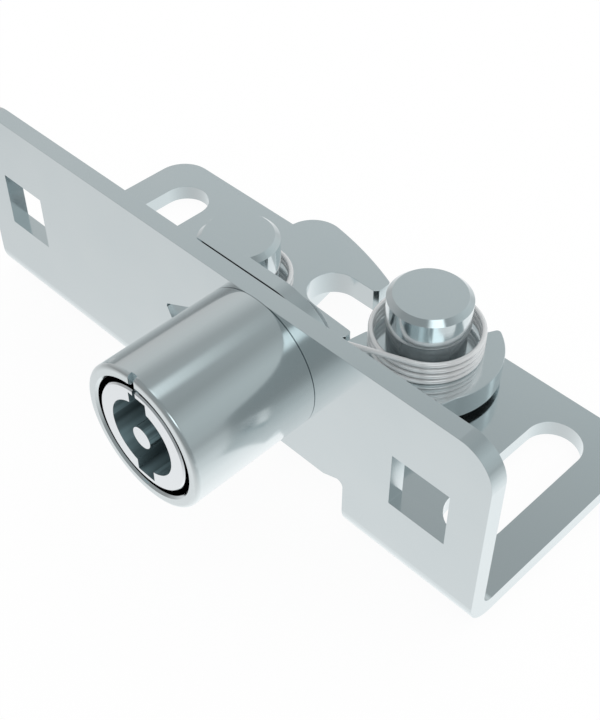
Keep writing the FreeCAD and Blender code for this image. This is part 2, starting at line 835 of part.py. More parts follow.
def coil_spring(lever):
    """The torsion spring above a lever, wound round the bush.

    The upper end runs off straight as a leg, and the lower end is bent down into the lever's hook
    hole. The coil is a row of half turns, each tilted to fall by half a pitch, so that all of them
    meet level. Its own X axis passes through the start of the leg. The round wire is drawn with
    eight flats, 0.03 mm from round, which keeps its many turns light.
    """
    radius, pitch = value(lever + "_coil_rad"), value("coil_pitch")
    whole_turn = 2 * math.pi * value(lever + "_coil_turns")
    halves = int(whole_turn / math.pi)
    top = pitch * halves / 2
    leg, bend = value(lever + "_leg_length"), value("hook_bend")
    hook = value("hook_depth + wire_rad + axial_clear") - bend

    def round_the_axis(start, sweep, level, fall):
        points = [FreeCAD.Vector(radius * math.cos(start + share * sweep),
                                 radius * math.sin(start + share * sweep),
                                 level - share * fall) for share in (0, 0.5, 1)]
        return Part.Arc(*points).toShape()

    half_turns = [round_the_axis(number * math.pi, math.pi, top - number * pitch / 2, pitch / 2)
                  for number in range(halves)]
    last = round_the_axis(halves * math.pi, whole_turn - halves * math.pi, 0, 0)
    leg_end, leg_start = FreeCAD.Vector(radius, -leg, top), FreeCAD.Vector(radius, 0, top)
    end, along = last.valueAt(last.LastParameter), last.tangentAt(last.LastParameter)
    down = FreeCAD.Vector(0, 0, -1)
    slant = math.sqrt(0.5)
    bend_middle = end + along * (bend * slant) + down * (bend * (1 - slant))
    bend_end = end + along * bend + down * bend
    spans = [Part.LineSegment(leg_end, leg_start).toShape(), *half_turns, last,
             Part.Arc(end, bend_middle, bend_end).toShape(),
             Part.LineSegment(bend_end, bend_end + down * hook).toShape()]
    wire, flats = value("wire_rad"), int(value("wire_flats"))
    angles = [2 * math.pi * (number + 0.5) / flats for number in range(flats)]
    corners = [leg_end + FreeCAD.Vector(wire * math.cos(angle), 0, wire * math.sin(angle))
               for angle in angles]
    section = Part.makePolygon(corners + corners[:1])

    spring = doc.addObject("Part::Feature", lever + "_spring")
    spring.Label = lever + "_spring"
    spring.Shape = Part.Wire(spans).makePipeShell([section], True, False)
    place = FreeCAD.Vector(value(lever + "_x"), value("%s_y - %s" % (lever, origin_back)),
                           value("lever_low + lever_thick + wire_rad + axial_clear"))
    turn = FreeCAD.Rotation(FreeCAD.Vector(0, 0, 1), value(lever + "_leg_turn"))
    spring.Placement = FreeCAD.Placement(place, turn)
    return spring


pieces = [bracket(), lock_sleeve(), stop_pin(), lock_plug(), key_pin(), friction_washer(),
          plug_seal(), cam_plate(), cam_washer(), cam_screw(), claw(), pawl()]
for lever in ("claw", "pawl"):
    place = (lever + "_x", lever + "_y")
    pieces.append(stud(lever + "_stud", *place))
    pieces.append(bush(lever + "_bush", *place))
    pieces.append(washer(lever + "_washer", *place))
    pieces.append(coil_spring(lever))

doc.recompute()
for thing in doc.Objects:
    if "Invalid" in thing.State or "Error" in thing.State:
        raise RuntimeError("%s is %s" % (thing.Name, thing.State))
for piece in pieces:
    if piece.Shape.isNull() or not piece.Shape.isValid():
        raise RuntimeError("%s has no valid shape" % piece.Label)
    if len(piece.Shape.Solids) != 1:
        raise RuntimeError("%s is not one solid" % piece.Label)

os.makedirs("parts", exist_ok=True)
for piece in pieces:
    piece.Shape.exportStep("parts/%s.step" % piece.Label)
    box = piece.Shape.BoundBox
    low = (box.XMin, box.YMin, box.ZMin)
    high = (box.XMax, box.YMax, box.ZMax)
    print(piece.Label, "%.0f mm3" % piece.Shape.Volume,
          " ".join("%.2f" % v for v in low), "to", " ".join("%.2f" % v for v in high))
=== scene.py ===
import math

import bpy
import numpy as np
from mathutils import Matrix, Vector


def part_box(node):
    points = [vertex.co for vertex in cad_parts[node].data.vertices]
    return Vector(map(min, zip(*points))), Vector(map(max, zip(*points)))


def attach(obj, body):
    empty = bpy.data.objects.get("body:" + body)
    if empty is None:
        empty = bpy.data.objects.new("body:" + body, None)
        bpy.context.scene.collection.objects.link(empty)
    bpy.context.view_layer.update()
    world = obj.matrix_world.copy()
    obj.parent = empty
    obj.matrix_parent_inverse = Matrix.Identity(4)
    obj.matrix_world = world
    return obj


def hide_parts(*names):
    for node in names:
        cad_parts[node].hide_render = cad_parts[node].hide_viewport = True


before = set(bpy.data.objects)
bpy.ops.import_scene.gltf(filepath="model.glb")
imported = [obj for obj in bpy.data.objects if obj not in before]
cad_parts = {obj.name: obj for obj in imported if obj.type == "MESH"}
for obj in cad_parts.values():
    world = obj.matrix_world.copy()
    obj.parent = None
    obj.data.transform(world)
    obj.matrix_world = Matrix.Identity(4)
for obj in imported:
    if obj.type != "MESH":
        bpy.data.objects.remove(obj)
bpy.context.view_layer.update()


# The camera looks down at 45 degrees, from 45 degrees to the right of the flange's front, and from
# near enough that the plate's left end and the base's right end run out of the picture.
flange_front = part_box("bracket")[0].y
camera_place = Vector((0.08808, flange_front - 0.06958, 0.12435))
camera_direction = Vector((-0.49919, 0.49931, -0.70817))
camera_sensor = 36.0
# The focal length and the picture's height, both in pixels
focal_pixels, picture_height = 1198.1, 720
camera_lens = camera_sensor * focal_pixels / picture_height

camera = bpy.data.objects.new("camera", bpy.data.cameras.new("camera"))
bpy.context.collection.objects.link(camera)
camera.location = camera_place
camera.rotation_euler = camera_direction.to_track_quat("-Z", "Y").to_euler()
camera.data.sensor_width = camera_sensor
camera.data.lens = camera_lens
camera.data.clip_start = 0.005
bpy.context.scene.camera = camera
bpy.context.scene.view_settings.view_transform = "Standard"


# The studio is a cloth tent, which glossy rays alone see. Its floor is brightest, its walls fall to
# a grey horizon, and its roof is a blue-green grey with three lamps behind the cloth. All its
# values are set to the reflections in this one photograph. Other rays see plain white.
plain_white, floor_cloth, roof_cloth = "FFFFFF", "FBFEFF", "EEFBFE"
# The tent's brightness by height, from straight down to straight up
heights = [(-1.0, 0.97), (-0.8, 0.88), (-0.6, 0.78), (-0.45, 0.68), (-0.17, 0.50), (0.0, 0.37),
           (0.17, 0.42), (0.45, 0.45), (0.55, 0.45), (0.6, 0.42), (0.66, 0.39), (0.7, 0.36),
           (0.76, 0.30), (0.8, 0.26), (0.87, 0.28), (1.0, 0.28)]
# How much brighter it gets to the right and to the back, and how dark the darkest of it is
right_gain, back_gain = -0.05, 0.21
darkest = 0.31
# How white the cloth is at the horizon, and how that grows to the right and upwards
white_share, white_right, white_up = 0.6, -0.5, -0.65
# Each lamp is a panel of the roof: the middle of it, its two half widths and its edges' widths, all
# by how far east and north the panel lies in the direction to it, its brightness, and how much it
# leans east as it goes north.
streak_lamp = {"x": -0.03, "x_half": 0.13, "x_edge": 0.06,
               "y": 0.11, "y_half": 0.31, "y_edge": 0.07, "glow": 0.62, "lean": 0.0}
window_lamp = {"x": 0.75, "x_half": 0.12, "x_edge": 0.05,
               "y": -0.30, "y_half": 0.225, "y_edge": 0.04, "glow": 1.1, "lean": 0.42}
back_lamp = {"x": 0.30, "x_half": 0.08, "x_edge": 0.03,
             "y": 0.69, "y_half": 0.05, "y_edge": 0.03, "glow": 0.6, "lean": 0.0}


def linear(hex_colour):
    """An sRGB colour such as "C8D0D2" as the linear red, green, blue and alpha that a shader takes."""
    parts = [int(hex_colour[i:i + 2], 16) / 255 for i in (0, 2, 4)]
    return [p / 12.92 if p <= 0.04045 else ((p + 0.055) / 1.055) ** 2.4 for p in parts] + [1.0]


def node(tree, kind, inputs=(), **settings):
    """Add one node, with its settings, and with its inputs set to values or linked to outputs."""
    new = tree.nodes.new("ShaderNode" + kind)
    for name, setting in settings.items():
        setattr(new, name, setting)
    for name, given in dict(inputs).items():
        if isinstance(given, bpy.types.NodeSocket):
            tree.links.new(given, new.inputs[name])
        else:
            new.inputs[name].default_value = given
    return new


studio = bpy.data.worlds.new("white_tent")
studio.use_nodes = True
tree = studio.node_tree
tree.nodes.clear()
direction = node(tree, "TexCoord").outputs["Generated"]
east_north_up = node(tree, "SeparateXYZ", {"Vector": direction})
east, north, up = (east_north_up.outputs[axis] for axis in "XYZ")

level = node(tree, "MapRange", {"Value": up, "From Min": -1.0, "From Max": 1.0})
ramp = node(tree, "ValToRGB", {"Fac": level.outputs["Result"]})
ramp.color_ramp.interpolation = "EASE"
stops = ramp.color_ramp.elements
for height, brightness in heights[1:-1]:
    stops.new((height + 1) / 2)
for stop, (height, brightness) in zip(stops, heights):
    stop.position = (height + 1) / 2
    stop.color = (brightness, brightness, brightness, 1.0)
slope = node(tree, "VectorMath", {0: direction, 1: (right_gain, back_gain, 0.0)},
             operation="DOT_PRODUCT").outputs["Value"]
brightness = node(tree, "Math", {0: ramp.outputs["Color"], 1: slope}, operation="ADD").outputs["Value"]
brightness = node(tree, "Math", {0: brightness, 1: darkest}, operation="MAXIMUM").outputs["Value"]
above = node(tree, "Math", {0: up, 1: 0.0}, operation="GREATER_THAN").outputs["Value"]
for lamp in (streak_lamp, window_lamp, back_lamp):
    glow = above
    straight = node(tree, "Math", {0: north, 1: -lamp["lean"], 2: east},
                    operation="MULTIPLY_ADD").outputs["Value"]
    for place, axis in ((straight, "x"), (north, "y")):
        off = node(tree, "Math", {0: place, 1: lamp[axis]}, operation="SUBTRACT").outputs["Value"]
        off = node(tree, "Math", {0: off}, operation="ABSOLUTE").outputs["Value"]
        half, edge = lamp[axis + "_half"], lamp[axis + "_edge"]
        inside = node(tree, "MapRange", {
            "Value": off, "From Min": half + edge, "From Max": half - edge},
            interpolation_type="SMOOTHSTEP").outputs["Result"]
        glow = node(tree, "Math", {0: glow, 1: inside}, operation="MULTIPLY").outputs["Value"]
    brightness = node(tree, "Math", {0: glow, 1: lamp["glow"], 2: brightness},
                      operation="MULTIPLY_ADD").outputs["Value"]
whiter = node(tree, "VectorMath", {0: direction, 1: (white_right, 0.0, white_up)},
              operation="DOT_PRODUCT").outputs["Value"]
whiter = node(tree, "Math", {0: whiter, 1: white_share}, operation="ADD", use_clamp=True)
cloth = node(tree, "Mix", {
    0: whiter.outputs["Value"], 6: linear(roof_cloth), 7: linear(floor_cloth)},
    data_type="RGBA").outputs[2]
tent = node(tree, "Background", {"Color": cloth, "Strength": brightness})
plain = node(tree, "Background", {"Color": linear(plain_white), "Strength": 1.0})
rays = node(tree, "LightPath")
mix = node(tree, "MixShader", {
    0: rays.outputs["Is Glossy Ray"], 1: plain.outputs[0], 2: tent.outputs[0]})
node(tree, "OutputWorld", {"Surface": mix.outputs[0]})
bpy.context.scene.world = studio


# The floor is white paper, lit from behind, so that it keeps only a faint shadow of the latch.
floor_half = 1.5
lit_share = 0.06


def finish(name):
    """Start a material that is named for the real finish, with an empty node tree."""
    material = bpy.data.materials.new(name)
    material.use_nodes = True
    material.node_tree.nodes.clear()
    return material, material.node_tree


floor_mesh = bpy.data.meshes.new("floor")
floor_mesh.from_pydata(
    [(x * floor_half, y * floor_half, 0.0) for x, y in ((-1, -1), (1, -1), (1, 1), (-1, 1))],
    [], [(0, 1, 2, 3)])
floor = bpy.data.objects.new("floor", floor_mesh)
bpy.context.collection.objects.link(floor)
floor.visible_glossy = False
paper, tree = finish("white_paper")
lit = node(tree, "BsdfDiffuse", {"Color": linear(plain_white)})
white = node(tree, "Emission", {"Color": linear(plain_white), "Strength": 1.0})
mix = node(tree, "MixShader", {0: lit_share, 1: white.outputs[0], 2: lit.outputs[0]})
node(tree, "OutputMaterial", {"Surface": mix.outputs[0]})
floor_mesh.materials.append(paper)


# The bracket and the cam are blanked from cold-rolled steel, 2.5 and 2 mm thick, and the bracket is
# folded. They are zinc plated and passivated blue-white, so the sheet is a soft grey mirror with a
# faint cloudiness of the plating and the mill's rolling lines along it.
zinc_light, zinc_cloudy = "E8EDEE", "E2E9EB"
cloud_size = 0.009
# Real rolling lines are about 0.03 mm apart; they are drawn ten times as wide, to show at all.
line_length, line_width, line_depth = 0.02, 0.0003, 0.0000006
sheet_edge, cam_edge = 0.00008, 0.00003
sheet_rough_low, sheet_rough_high = 0.12, 0.15
cloud_low, cloud_high = 0.3, 0.7
# Corners nearer than this are one corner, and faces flatter to each other than this are one face.
weld_reach, flat_angle = 0.000004, math.radians(0.2)
# Only edges sharper than this are rounded, in so many steps.
round_angle, round_steps = math.radians(35), 3
# The small window's cut sides are drawn darker: painted shade inside the hole.
window_x, window_z, window_reach = -0.00495, 0.0226, 0.0044
cut_skin, sheet_thick = 0.00012, 0.0025
window_cut_shade_tone = "8FA4A9"

zinc_sheet, tree = finish("blue_passivated_zinc_on_rolled_sheet")
place = node(tree, "TexCoord").outputs["Object"]
cloud = node(tree, "TexNoise", {"Vector": place, "Scale": 1 / cloud_size, "Detail": 3.0})
tone = node(tree, "Mix", {0: cloud.outputs["Fac"], 6: linear(zinc_light), 7: linear(zinc_cloudy)},
            data_type="RGBA").outputs[2]
from_window = node(tree, "VectorMath", {0: place, 1: (window_x, 0.0, window_z)},
                   operation="SUBTRACT").outputs["Vector"]
parts = node(tree, "SeparateXYZ", {"Vector": from_window})
across = node(tree, "CombineXYZ", {"X": parts.outputs["X"], "Z": parts.outputs["Z"]})
reach = node(tree, "VectorMath", {0: across.outputs["Vector"]}, operation="LENGTH").outputs["Value"]
near = node(tree, "Math", {0: reach, 1: window_reach}, operation="LESS_THAN")
off_middle = node(tree, "Math", {0: parts.outputs["Y"], 1: flange_front + sheet_thick / 2},
                  operation="SUBTRACT")
off_middle = node(tree, "Math", {0: off_middle.outputs["Value"]}, operation="ABSOLUTE")
within = node(tree, "Math", {0: off_middle.outputs["Value"], 1: sheet_thick / 2 - cut_skin},
              operation="LESS_THAN")
# Painted shade: the window's cut sides inside the sheet are mixed towards a darker tone
window_cut_shade_mask = node(tree, "Math", {0: near.outputs["Value"], 1: within.outputs["Value"]},
                operation="MULTIPLY")
tone = node(tree, "Mix", {0: window_cut_shade_mask.outputs["Value"], 6: tone, 7: linear(window_cut_shade_tone)},
            data_type="RGBA").outputs[2]
gloss = node(tree, "MapRange", {
    "Value": cloud.outputs["Fac"], "From Min": cloud_low, "From Max": cloud_high,
    "To Min": sheet_rough_low, "To Max": sheet_rough_high})
stretched = node(tree, "Mapping", {
    "Vector": place, "Scale": (1 / line_length, 1 / line_width, 1 / line_width)})
lines = node(tree, "TexNoise", {"Vector": stretched.outputs["Vector"], "Scale": 1.0, "Detail": 2.0})
relief = node(tree, "Bump", {
    "Height": lines.outputs["Fac"], "Strength": 1.0, "Distance": line_depth})
surface = node(tree, "BsdfPrincipled", {
    "Base Color": tone, "Metallic": 1.0, "Roughness": gloss.outputs["Result"],
    "Normal": relief.outputs["Normal"]})
node(tree, "OutputMaterial", {"Surface": surface.outputs[0]})


def dress(piece, material, edge_width=0.0, is_plate=False):
    """Give a CAD piece its finish, and round its edges as tumbling and plating leave them."""
    piece.data.materials.clear()
    piece.data.materials.append(material)
    if edge_width:
        weld = piece.modifiers.new("weld", "WELD")
        weld.merge_threshold = weld_reach
        if is_plate:
            joined = piece.modifiers.new("joined", "DECIMATE")
            joined.decimate_type = "DISSOLVE"
            joined.angle_limit = flat_angle
        bevel = piece.modifiers.new("bevel", "BEVEL")
        bevel.width = edge_width
        bevel.segments = round_steps
        bevel.limit_method = "ANGLE"
        bevel.angle_limit = round_angle
        shading = piece.modifiers.new("shading", "WEIGHTED_NORMAL")
        shading.mode = "FACE_AREA_WITH_ANGLE"
        shading.keep_sharp = True


dress(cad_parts["bracket"], zinc_sheet, sheet_edge, is_plate=True)
dress(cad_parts["cam_plate"], zinc_sheet, cam_edge, is_plate=True)


# The claw and the pawl are fine-blanked from 3.8 mm steel and zinc plated like the bracket. Their
# faces are smooth, and their sides have the upright streaks that the die leaves.
streak_width, streak_height, streak_depth = 0.0003, 0.004, 0.000001
lever_edge = 0.00018
top_rough, side_rough = 0.13, 0.16

zinc_lever, tree = finish("zinc_on_fine_blanked_steel")
place = node(tree, "TexCoord").outputs["Object"]
cloud = node(tree, "TexNoise", {"Vector": place, "Scale": 1 / cloud_size, "Detail": 3.0})
tone = node(tree, "Mix", {0: cloud.outputs["Fac"], 6: linear(zinc_light), 7: linear(zinc_cloudy)},
            data_type="RGBA").outputs[2]
facing = node(tree, "SeparateXYZ", {"Vector": node(tree, "NewGeometry").outputs["Normal"]})
flat = node(tree, "Math", {0: facing.outputs["Z"]}, operation="ABSOLUTE").outputs["Value"]
on_side = node(tree, "MapRange", {"Value": flat, "From Min": 0.6, "From Max": 0.2})
stretched = node(tree, "Mapping", {
    "Vector": place, "Scale": (1 / streak_width, 1 / streak_width, 1 / streak_height)})
streaks = node(tree, "TexNoise", {"Vector": stretched.outputs["Vector"], "Scale": 1.0, "Detail": 2.0})
height = node(tree, "Math", {0: streaks.outputs["Fac"], 1: on_side.outputs["Result"]},
              operation="MULTIPLY").outputs["Value"]
relief = node(tree, "Bump", {"Height": height, "Strength": 1.0, "Distance": streak_depth})
gloss = node(tree, "MapRange", {
    "Value": on_side.outputs["Result"], "To Min": top_rough, "To Max": side_rough})
surface = node(tree, "BsdfPrincipled", {
    "Base Color": tone, "Metallic": 1.0, "Roughness": gloss.outputs["Result"],
    "Normal": relief.outputs["Normal"]})
node(tree, "OutputMaterial", {"Surface": surface.outputs[0]})
for name in ("claw", "pawl"):
    dress(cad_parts[name], zinc_lever, lever_edge, is_plate=True)


# The lock's sleeve is turned from free-cutting steel and zinc plated. The feed of the lathe leaves
# fine rings on its face and side. Its bore behind the rim is painted black, as painted shade in the gap
# round the plug.
pin_low, pin_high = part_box("key_pin")
lock_x, lock_z = (pin_low.x + pin_high.x) / 2, (pin_low.z + pin_high.z) / 2
sleeve_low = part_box("lock_sleeve")[0]
bore_rad, sleeve_rad = 0.00805, 0.00972
# Painted shade: black for the gap round the plug, and a darker tone for the crevice at the flange
gap_shade_black, crevice_shade_tone = "0C0F10", "5F6C70"
gap_shade_from, bore_skin = 0.0004, 0.00002
crevice_width = 0.00007
# The index notch is in the rim, a little to one side of the middle, and is drawn darker and less
# metallic than the rim around it.
notch_side, notch_half, notch_depth, notch_skin = -0.00045, 0.00053, 0.00075, 0.00006
notch_darker_tone = "9DAFB4"
# Real feed rings are 0.08 mm apart, and are drawn at three times that.
ring_pitch, ring_depth = 0.00025, 0.0000006
sleeve_edge = 0.0002
sleeve_rough_low, sleeve_rough_high = 0.13, 0.17
notch_metal = 0.3

turned_zinc, tree = finish("zinc_on_turned_steel")
place = node(tree, "TexCoord").outputs["Object"]
from_axis = node(tree, "VectorMath", {0: place, 1: (lock_x, 0.0, lock_z)}, operation="SUBTRACT")
parts = node(tree, "SeparateXYZ", {"Vector": from_axis.outputs["Vector"]})
across = node(tree, "CombineXYZ", {"X": parts.outputs["X"], "Z": parts.outputs["Z"]})
radius = node(tree, "VectorMath", {0: across.outputs["Vector"]}, operation="LENGTH").outputs["Value"]
along = node(tree, "Math", {0: radius, 1: parts.outputs["Y"]}, operation="ADD").outputs["Value"]
count = node(tree, "Math", {0: along, 1: 1 / ring_pitch}, operation="MULTIPLY").outputs["Value"]
rings = node(tree, "TexNoise", {"W": count, "Scale": 1.0, "Detail": 1.0}, noise_dimensions="1D")
relief = node(tree, "Bump", {
    "Height": rings.outputs["Fac"], "Strength": 1.0, "Distance": ring_depth})
# Painted shade: the bore behind the rim, in the gap round the plug, is drawn black
in_bore = node(tree, "Math", {0: radius, 1: bore_rad + bore_skin}, operation="LESS_THAN")
behind_rim = node(tree, "Math", {0: parts.outputs["Y"], 1: sleeve_low.y + gap_shade_from},
                  operation="GREATER_THAN")
gap_shade_mask = node(tree, "Math", {0: in_bore.outputs["Value"], 1: behind_rim.outputs["Value"]},
               operation="MULTIPLY")
tone = node(tree, "Mix", {
    0: gap_shade_mask.outputs["Value"], 6: linear(zinc_light), 7: linear(gap_shade_black)},
    data_type="RGBA").outputs[2]
off_notch = node(tree, "Math", {0: parts.outputs["X"], 1: notch_side}, operation="SUBTRACT")
off_notch = node(tree, "Math", {0: off_notch.outputs["Value"]}, operation="ABSOLUTE")
beside = node(tree, "Math", {0: off_notch.outputs["Value"], 1: notch_half}, operation="LESS_THAN")
past_face = node(tree, "Math", {0: parts.outputs["Y"], 1: sleeve_low.y + notch_skin},
                 operation="GREATER_THAN")
above_floor = node(tree, "Math", {0: parts.outputs["Y"], 1: sleeve_low.y + notch_depth},
                   operation="LESS_THAN")
past_bore = node(tree, "Math", {0: radius, 1: bore_rad + notch_skin}, operation="GREATER_THAN")
inside_rim = node(tree, "Math", {0: radius, 1: sleeve_rad - notch_skin}, operation="LESS_THAN")
in_notch = beside.outputs["Value"]
for limit in (past_face, above_floor, past_bore, inside_rim):
    in_notch = node(tree, "Math", {0: in_notch, 1: limit.outputs["Value"]},
                    operation="MULTIPLY").outputs["Value"]
tone = node(tree, "Mix", {0: in_notch, 6: tone, 7: linear(notch_darker_tone)}, data_type="RGBA").outputs[2]
polished = node(tree, "MapRange", {"Value": in_notch, "To Min": 1.0, "To Max": notch_metal})
# Painted shade: a thin darker band on the sleeve where it meets the flange
crevice_shade_mask = node(tree, "Math", {0: parts.outputs["Y"], 1: flange_front - crevice_width},
                 operation="GREATER_THAN")
tone = node(tree, "Mix", {0: crevice_shade_mask.outputs["Value"], 6: tone, 7: linear(crevice_shade_tone)},
            data_type="RGBA").outputs[2]
gloss = node(tree, "MapRange", {
    "Value": rings.outputs["Fac"], "To Min": sleeve_rough_low, "To Max": sleeve_rough_high})
surface = node(tree, "BsdfPrincipled", {
    "Base Color": tone, "Metallic": polished.outputs["Result"], "Roughness": gloss.outputs["Result"],
    "Normal": relief.outputs["Normal"]})
node(tree, "OutputMaterial", {"Surface": surface.outputs[0]})
dress(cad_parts["lock_sleeve"], turned_zinc, sleeve_edge)


# The plug and the pin in its keyhole are nickel plated, so their faces are whiter than the zinc.
# The keyhole's walls are painted shade, dark in random bands, and deep in, the plug's side is painted
# black as shade in the gap.
nickel, keyhole_shade_light, keyhole_shade_dark = "FBFCFE", "7F979D", "2E3A3D"
bands_round = 9.0
keyhole_reach, plug_rim = 0.0069, 0.00715
face_depth = 0.00004
gap_shade_depth = 0.0012
plug_edge = 0.00006
plug_rough = 0.12
band_low, band_high = 0.35, 0.65
plug_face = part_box("lock_plug")[0].y

nickel_plug, tree = finish("nickel_on_turned_brass")
place = node(tree, "TexCoord").outputs["Object"]
from_axis = node(tree, "VectorMath", {0: place, 1: (lock_x, plug_face, lock_z)},
                 operation="SUBTRACT")
parts = node(tree, "SeparateXYZ", {"Vector": from_axis.outputs["Vector"]})
across = node(tree, "CombineXYZ", {"X": parts.outputs["X"], "Z": parts.outputs["Z"]})
radius = node(tree, "VectorMath", {0: across.outputs["Vector"]}, operation="LENGTH").outputs["Value"]
count = node(tree, "Math", {0: radius, 1: 1 / ring_pitch}, operation="MULTIPLY").outputs["Value"]
rings = node(tree, "TexNoise", {"W": count, "Scale": 1.0, "Detail": 1.0}, noise_dimensions="1D")
relief = node(tree, "Bump", {
    "Height": rings.outputs["Fac"], "Strength": 1.0, "Distance": ring_depth})
behind_face = node(tree, "Math", {0: parts.outputs["Y"], 1: face_depth}, operation="GREATER_THAN")
in_keyhole = node(tree, "Math", {0: radius, 1: keyhole_reach}, operation="LESS_THAN")
keyhole_shade_mask = node(tree, "Math", {
    0: behind_face.outputs["Value"], 1: in_keyhole.outputs["Value"]}, operation="MULTIPLY")
on_side = node(tree, "Math", {0: radius, 1: plug_rim}, operation="GREATER_THAN")
deep = node(tree, "Math", {0: parts.outputs["Y"], 1: gap_shade_depth}, operation="GREATER_THAN")
gap_shade_mask = node(tree, "Math", {
    0: deep.outputs["Value"], 1: on_side.outputs["Value"]}, operation="MULTIPLY")
around = node(tree, "Math", {0: parts.outputs["Z"], 1: parts.outputs["X"]}, operation="ARCTAN2")
broached = node(tree, "TexNoise", {
    "W": around.outputs["Value"], "Scale": bands_round / (2 * math.pi), "Detail": 2.0},
    noise_dimensions="1D")
band = node(tree, "MapRange", {
    "Value": broached.outputs["Fac"], "From Min": band_low, "From Max": band_high})
# Painted shade: the keyhole's walls are drawn dark, in lighter and darker bands at random round the axis
keyhole_shade_tone = node(tree, "Mix", {0: band.outputs["Result"], 6: linear(keyhole_shade_dark), 7: linear(keyhole_shade_light)},
           data_type="RGBA").outputs[2]
tone = node(tree, "Mix", {0: keyhole_shade_mask.outputs["Value"], 6: linear(nickel), 7: keyhole_shade_tone},
            data_type="RGBA").outputs[2]
# Painted shade: deep in, the plug's side is drawn black, in the gap inside the sleeve
tone = node(tree, "Mix", {0: gap_shade_mask.outputs["Value"], 6: tone, 7: linear(gap_shade_black)},
            data_type="RGBA").outputs[2]
bare = node(tree, "Math", {0: 1.0, 1: keyhole_shade_mask.outputs["Value"]}, operation="SUBTRACT")
surface = node(tree, "BsdfPrincipled", {
    "Base Color": tone, "Metallic": bare.outputs["Value"], "Roughness": plug_rough,
    "Normal": relief.outputs["Normal"]})
node(tree, "OutputMaterial", {"Surface": surface.outputs[0]})
for name in ("lock_plug", "key_pin"):
    dress(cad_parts[name], nickel_plug, plug_edge)


# The two pivot studs are turned, with the feed's rings round their own axes, and zinc plated. The
# stop pin is a plain piece of the same bright steel.
stud_roughness = 0.13
stud_zinc = {}
for name in ("claw_stud", "pawl_stud"):
    low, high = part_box(name)
    stud_x, stud_y = (low.x + high.x) / 2, (low.y + high.y) / 2
    material, tree = finish("zinc_on_" + name)
    place = node(tree, "TexCoord").outputs["Object"]
    from_axis = node(tree, "VectorMath", {0: place, 1: (stud_x, stud_y, 0.0)}, operation="SUBTRACT")
    parts = node(tree, "SeparateXYZ", {"Vector": from_axis.outputs["Vector"]})
    across = node(tree, "CombineXYZ", {"X": parts.outputs["X"], "Y": parts.outputs["Y"]})
    radius = node(tree, "VectorMath", {0: across.outputs["Vector"]}, operation="LENGTH")
    along = node(tree, "Math", {0: radius.outputs["Value"], 1: parts.outputs["Z"]},
                 operation="SUBTRACT").outputs["Value"]
    count = node(tree, "Math", {0: along, 1: 1 / ring_pitch}, operation="MULTIPLY").outputs["Value"]
    rings = node(tree, "TexNoise", {"W": count, "Scale": 1.0, "Detail": 1.0}, noise_dimensions="1D")
    relief = node(tree, "Bump", {
        "Height": rings.outputs["Fac"], "Strength": 1.0, "Distance": ring_depth})
    tone = node(tree, "Mix", {0: rings.outputs["Fac"], 6: linear(zinc_light), 7: linear(zinc_cloudy)},
                data_type="RGBA").outputs[2]
    surface = node(tree, "BsdfPrincipled", {
        "Base Color": tone, "Metallic": 1.0, "Roughness": stud_roughness,
        "Normal": relief.outputs["Normal"]})
    node(tree, "OutputMaterial", {"Surface": surface.outputs[0]})
    stud_zinc[name] = material
    dress(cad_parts[name], material)
dress(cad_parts["stop_pin"], stud_zinc["pawl_stud"])


# The bushes, the washers and the cam's screw are turned from bright steel and only oiled, not
# plated: a grey steel under an uneven film of oil, which dulls part of its mirror.
steel_light, steel_oiled = "B4BEC1", "A2ABAE"
bush_metal = 0.72
mottle_size = 0.0012
bush_rough_low, bush_rough_high = 0.10, 0.18

oiled_steel, tree = finish("oiled_turned_steel")
place = node(tree, "TexCoord").outputs["Object"]
mottle = node(tree, "TexNoise", {"Vector": place, "Scale": 1 / mottle_size, "Detail": 4.0})
tone = node(tree, "Mix", {0: mottle.outputs["Fac"], 6: linear(steel_light), 7: linear(steel_oiled)},
            data_type="RGBA").outputs[2]
gloss = node(tree, "MapRange", {
    "Value": mottle.outputs["Fac"], "To Min": bush_rough_low, "To Max": bush_rough_high})
surface = node(tree, "BsdfPrincipled", {
    "Base Color": tone, "Metallic": bush_metal, "Roughness": gloss.outputs["Result"]})
node(tree, "OutputMaterial", {"Surface": surface.outputs[0]})
for name in ("claw_bush", "pawl_bush", "claw_washer", "pawl_washer", "friction_washer",
             "cam_washer", "cam_screw"):
    dress(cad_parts[name], oiled_steel)


# The plug's seal is a moulded ring of nitrile rubber, matt black with a fine dusty grain.
rubber_black, rubber_dust = "17181A", "24262A"
grain_size, grain_depth = 0.0003, 0.00002
rubber_rough, grain_strength = 0.6, 0.3

rubber, tree = finish("moulded_nitrile_rubber")
place = node(tree, "TexCoord").outputs["Object"]
grain = node(tree, "TexNoise", {"Vector": place, "Scale": 1 / grain_size, "Detail": 2.0})
tone = node(tree, "Mix", {0: grain.outputs["Fac"], 6: linear(rubber_black), 7: linear(rubber_dust)},
            data_type="RGBA").outputs[2]
relief = node(tree, "Bump", {
    "Height": grain.outputs["Fac"], "Strength": grain_strength, "Distance": grain_depth})
surface = node(tree, "BsdfPrincipled", {
    "Base Color": tone, "Roughness": rubber_rough, "Normal": relief.outputs["Normal"]})
node(tree, "OutputMaterial", {"Surface": surface.outputs[0]})
dress(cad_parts["plug_seal"], rubber)


# The springs are wound from drawn spring wire, 0.8 mm thick and plated bright. Drawing leaves long
# fine lines along the wire. Each has a straight leg on top and a hook bent down into its lever.
wire_rad = 0.0004
coil_pitch = 0.00106
hook_bend = 0.0006
hook_end = 0.00185
coil_lift = 0.00005
leg_steps, turn_steps, bend_steps, drop_steps = 40, 96, 12, 8
wire_sides = 20
wire_tone, wire_shade = "FBFAFA", "F0EFEF"
drawn_lines, drawn_length = 0.00008, 0.02
wire_rough_low, wire_rough_high = 0.05, 0.10
# Part metal, so that the close turns stay bright where a pure mirror shows its dark neighbours
wire_metal = 0.5

